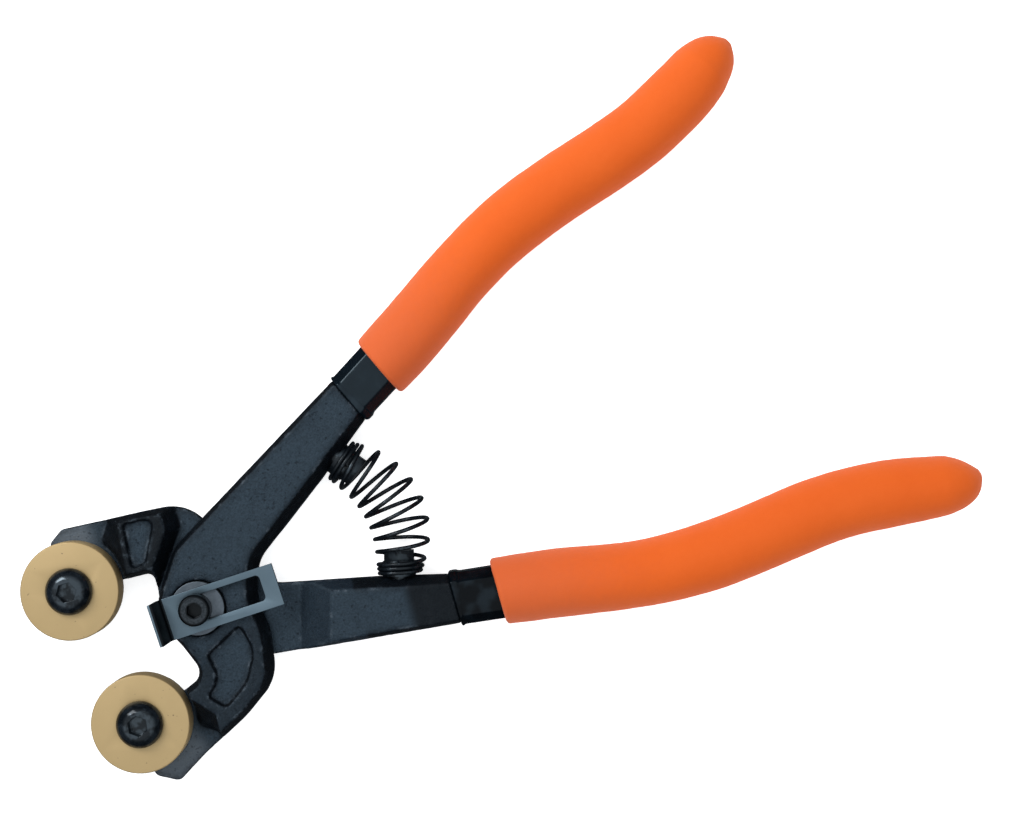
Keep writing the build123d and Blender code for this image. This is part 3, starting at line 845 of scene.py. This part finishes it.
def carbideGold():
    graph = Graph("carbideGold")
    place = graph.place()
    cloud = graph.grain(place, *wheel["cloud"])
    grind = graph.grain(place, *wheel["grind"])
    specks = graph.ease(graph.grain(place, *wheel["speck"]), *wheel["speckCut"])
    share = wheel["toneMix"]
    tone = graph.mix(cloud * share["cloud"] + grind * share["grind"], *wheel["tones"])
    graph.set({
        "Base Color": graph.mix(specks * wheel["speckShare"], tone, wheel["speckTone"]),
        "Metallic": wheel["metallic"],
        "Roughness": wheel["roughness"] + grind * wheel["grindRoughness"],
        "IOR": wheel["refraction"],
    })
    graph.bump(grind, wheel["relief"] * mm, wheel["reliefStrength"])
    return graph.material


carbide = carbideGold()
for side in ("front", "rear"):
    easedCopy(side + "_wheel", side + "_wheel_carbide", carbide, wheel["bevel"])
print("wheels made")


# wheel screws and spring studs: black oxide, which the spring has too
wheelScrew = {"bevel": 0.14, "roughness": 0.1, "shine": 0.8}
springStud = {"bevel": 0.16, "roughness": 0.25, "shine": 0.5}
oxide = {
    "wave": (1.3, 3.0),      # grains: scale, detail, roughness
    "fine": (9.0, 1.0),
    "streak": (0.4, 3.0, 0.6),
    "streakCut": (0.56, 0.72),
    "shineGain": 0.2,        # how much a finish's shine lowers that cut
    "tones": ((0.002, 0.003, 0.0045), (0.01, 0.014, 0.019)),
    "tint": (0.72, 0.88, 1.0),
    "waveRoughness": 0.1,
    "refraction": 1.6,
    "relief": 0.03,
    "reliefMix": {"wave": 0.7, "fine": 0.3},
    "reliefStrength": 0.6,
    "blackShare": 0.8,
    "streakShare": 0.75,
    "blackShine": 0.12,
}


def blackOxide(name, piece):
    # a piece's shine is how much of it keeps a bright skin
    graph = Graph(name)
    place = graph.place()
    wave = graph.grain(place, *oxide["wave"])
    fine = graph.grain(place, *oxide["fine"])
    graph.set({
        "Base Color": graph.mix(wave, *oxide["tones"]),
        "Roughness": piece["roughness"] + wave * oxide["waveRoughness"],
        "IOR": oxide["refraction"],
        "Specular Tint": oxide["tint"],
    })
    height = wave * oxide["reliefMix"]["wave"] + fine * oxide["reliefMix"]["fine"]
    graph.bump(height, oxide["relief"] * mm, oxide["reliefStrength"])
    low, high = [cut - piece["shine"] * oxide["shineGain"] for cut in oxide["streakCut"]]
    streak = graph.ease(graph.grain(place, *oxide["streak"]), low, high)
    graph.cover(oxide["blackShare"] - streak * oxide["streakShare"], {
        "Base Color": oxide["tones"][0],
        "Roughness": piece["roughness"],
        "Specular IOR Level": oxide["blackShine"],
    })
    return graph.material


screwBlack = blackOxide("screwBlack", wheelScrew)
studBlack = blackOxide("studBlack", springStud)
for side in ("front", "rear"):
    screwName, studName = side + "_wheel_screw", side + "_spring_stud"
    easedCopy(screwName, screwName + "_button", screwBlack, wheelScrew["bevel"])
    easedCopy(studName, studName + "_turned", studBlack, springStud["bevel"])
print("wheel screws and studs made")


# stop screw: a worn ring round a dark socket
stopCap = {
    "bevel": 0.12,
    "wave": (2.2, 3.0),      # grain: scale, detail
    "waveCut": (0.35, 0.6),
    "ring": (1.95, 2.75),    # radii of the worn ring
    "ringSoft": 0.25,
    "ringLevel": (18.2, 18.4),
    "tones": ((0.003, 0.004, 0.006), (0.06, 0.07, 0.082)),
    "tint": (0.72, 0.88, 1.0),
    "roughness": 0.28,
    "waveRoughness": 0.15,
    "relief": 0.06,
    "reliefStrength": 0.7,
    "blackShare": 0.88,
    "ringShare": 0.75,
    "blackTone": (0.002, 0.003, 0.004),
    "blackRoughness": 0.2,
    "blackShine": 0.09,
}


def capRing():
    graph = Graph("capRing")
    place = graph.place()
    wave = graph.grain(place, *stopCap["wave"])
    ring = graph.band(graph.reach(place), *stopCap["ring"], stopCap["ringSoft"])
    ring = ring * graph.ease(graph.split(place, "Z"), *stopCap["ringLevel"])
    paleMarks = ring * graph.ease(wave, *stopCap["waveCut"])
    graph.set({
        "Base Color": graph.mix(paleMarks, *stopCap["tones"]),
        "Roughness": stopCap["roughness"] + wave * stopCap["waveRoughness"],
        "Specular Tint": stopCap["tint"],
    })
    graph.bump(wave, stopCap["relief"] * mm, stopCap["reliefStrength"])
    graph.cover(stopCap["blackShare"] - ring * stopCap["ringShare"], {
        "Base Color": stopCap["blackTone"],
        "Roughness": stopCap["blackRoughness"],
        "Specular IOR Level": stopCap["blackShine"],
    })
    return graph.material


easedCopy("stop_screw", "stop_screw_cap", capRing(), stopCap["bevel"])
print("stop screw made")


# pivot: dark steel
pivot = {
    "boltBevel": 0.12,
    "nutBevel": 0.16,
    "washerBevel": 0.12,
    "wave": (0.8, 3.0),      # grains: scale, detail
    "fine": (6.0, 2.0),
    "tones": ((0.045, 0.057, 0.07), (0.11, 0.132, 0.155)),
    "metallic": 0.8,
    "roughness": 0.38,
    "fineRoughness": 0.15,
    "relief": 0.02,
    "reliefStrength": 0.5,
}


def darkSteel():
    graph = Graph("darkSteel")
    place = graph.place()
    fine = graph.grain(place, *pivot["fine"])
    graph.set({
        "Base Color": graph.mix(graph.grain(place, *pivot["wave"]), *pivot["tones"]),
        "Metallic": pivot["metallic"],
        "Roughness": pivot["roughness"] + fine * pivot["fineRoughness"],
    })
    graph.bump(fine, pivot["relief"] * mm, pivot["reliefStrength"])
    return graph.material


pivotSteel = darkSteel()
easedCopy("pivot_bolt", "pivot_bolt_turned", pivotSteel, pivot["boltBevel"])
easedCopy("pivot_nut", "pivot_nut_milled", pivotSteel, pivot["nutBevel"])
easedCopy("pivot_washer", "pivot_washer_stamped", pivotSteel, pivot["washerBevel"])
print("pivot made")


# gauge plate: pressed steel, with painted shade on the inner face of its bent flange
gauge = {
    "bevel": 0.14,
    "swing": 9.8,            # degrees that bring the plate back to the long axis
    "foldAt": (-7.6, -6.8),  # the flange's inner face and its bend, along the plate
    "foldSoft": 0.15,
    "topAt": (24.0, 24.15),  # just below the flange's top edge
    "topDark": (-7.75, -7.2),  # the part of the flange's top edge in painted shade too
    "topSoft": 0.1,
    "cloud": (0.12, 2.0),    # grains: scale, detail
    "fine": (5.0, 2.0),
    "tones": ((0.058, 0.088, 0.112), (0.115, 0.162, 0.196)),
    "toneMix": {"cloud": 0.8, "fine": 0.2},
    "metallic": 0.75,
    "roughness": 0.36,
    "fineRoughness": 0.08,
    "relief": 0.012,
    "reliefStrength": 0.4,
    "blackTone": (0.001, 0.0015, 0.002),
    "blackShare": 0.96,
    "blackRoughness": 0.4,
    "blackShine": 0.05,
}


def gaugeSteel():
    graph = Graph("gaugeSteel")
    place = graph.place(math.radians(gauge["swing"]))
    along = graph.split(place, "X")
    level = graph.split(place, "Z")
    cloud = graph.grain(place, *gauge["cloud"])
    fine = graph.grain(place, *gauge["fine"])
    share = gauge["toneMix"]
    graph.set({
        "Base Color": graph.mix(cloud * share["cloud"] + fine * share["fine"], *gauge["tones"]),
        "Metallic": gauge["metallic"],
        "Roughness": gauge["roughness"] + fine * gauge["fineRoughness"],
    })
    graph.bump(fine, gauge["relief"] * mm, gauge["reliefStrength"])
    # painted shade on the flange's inner face and on part of its top edge
    inside = graph.band(along, *gauge["foldAt"], gauge["foldSoft"])
    inside = inside * (1 - graph.ease(level, *gauge["topAt"]))
    inside = graph.larger(inside, graph.band(along, *gauge["topDark"], gauge["topSoft"]))
    graph.cover(inside * gauge["blackShare"], {
        "Base Color": gauge["blackTone"],
        "Roughness": gauge["blackRoughness"],
        "Specular IOR Level": gauge["blackShine"],
    })
    return graph.material


easedCopy("stop_plate", "stop_plate_pressed", gaugeSteel(), gauge["bevel"])
print("gauge plate made")


# return spring
spring = {
    "wire": 0.95,
    "studLength": 5.7,
    "base": (42.676, 14.969),  # the front stud's foot, on its lever's wall
    "lean": 26.149,          # degrees between the stud and the line across the handles
    "closeTurns": 2.4,       # at each end
    "activeTurns": 7.2,
    "startTurn": 0.6,
    "closePitch": 0.99,
    "endGap": 0.1,           # between the wire and the wall
    "endRadius": 4.39,
    "swell": 2.2,            # added to the radius in the middle
    "swellPower": 0.9,
    "bowExtra": 1.3,         # how far the middle coils stand further out
    "bendsFrom": 18.2,       # a place along Y
    "pointsPerTurn": 28,
    "roundness": 4,
    "sharpAngle": 60,
    "roughness": 0.22,
    "shine": 0.3,
}


def springAxis(distance, length, radius, centreX):
    # a point of the bow and the way that is outward there
    run, lean = spring["studLength"], math.radians(spring["lean"])
    baseX, baseY = spring["base"]
    if distance > length / 2:
        x, y, angle = springAxis(length - distance, length, radius, centreX)
        return x, -y, -angle
    if distance < run:
        return baseX + distance * math.sin(lean), baseY - distance * math.cos(lean), lean
    angle = lean - (distance - run) / radius
    return centreX + radius * math.cos(angle), radius * math.sin(angle), angle


def springPoints():
    run, lean = spring["studLength"], math.radians(spring["lean"])
    baseX, baseY = spring["base"]
    radius = (baseY - run * math.cos(lean)) / math.sin(lean)
    centreX = baseX + run * math.sin(lean) - radius * math.cos(lean)
    length = 2 * run + 2 * radius * lean
    turns = spring["activeTurns"] + 2 * spring["closeTurns"]
    lead = spring["wire"] / 2 + spring["endGap"]
    closeRun = spring["closeTurns"] * spring["closePitch"]
    made = [0, spring["closeTurns"], turns - spring["closeTurns"], turns]
    reached = [lead, lead + closeRun, length - lead - closeRun, length - lead]
    points = []
    count = round(turns * spring["pointsPerTurn"])
    for i in range(count + 1):
        turn = turns * i / count
        distance = float(np.interp(turn, made, reached))
        x, y, angle = springAxis(distance, length, radius, centreX)
        phase = 2 * math.pi * (turn + spring["startTurn"])
        bulge = math.sin(math.pi * distance / length)
        reach = spring["endRadius"] + spring["swell"] * bulge ** spring["swellPower"]
        across = reach * math.cos(phase) + spring["bowExtra"] * bulge
        x, y = x + across * math.cos(angle), y + across * math.sin(angle)
        points.append(Vector((x, y, casting["middle"] + reach * math.sin(phase))) * mm)
    return points


def makeSpring(material):
    curve = bpy.data.curves.new("return_spring_wire", "CURVE")
    curve.dimensions = "3D"
    points = springPoints()
    line = curve.splines.new("POLY")
    line.points.add(len(points) - 1)
    for place, point in zip(line.points, points):
        place.co = (*point, 1)
    curve.bevel_depth = spring["wire"] / 2 * mm
    curve.bevel_resolution = spring["roundness"]
    curve.use_fill_caps = True
    shape = linked("wireCurve", curve)
    bpy.context.view_layer.update()
    graph = bpy.context.evaluated_depsgraph_get()
    mesh = bpy.data.meshes.new_from_object(shape.evaluated_get(graph))
    bpy.data.objects.remove(shape)
    piece = linked("return_spring_wire", mesh)
    smoothShade(piece, spring["sharpAngle"])
    mesh.materials.clear()
    mesh.materials.append(material)
    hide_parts("return_spring")
    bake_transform(piece)
    return piece


makeSpring(blackOxide("springBlack", spring))
print("spring made")
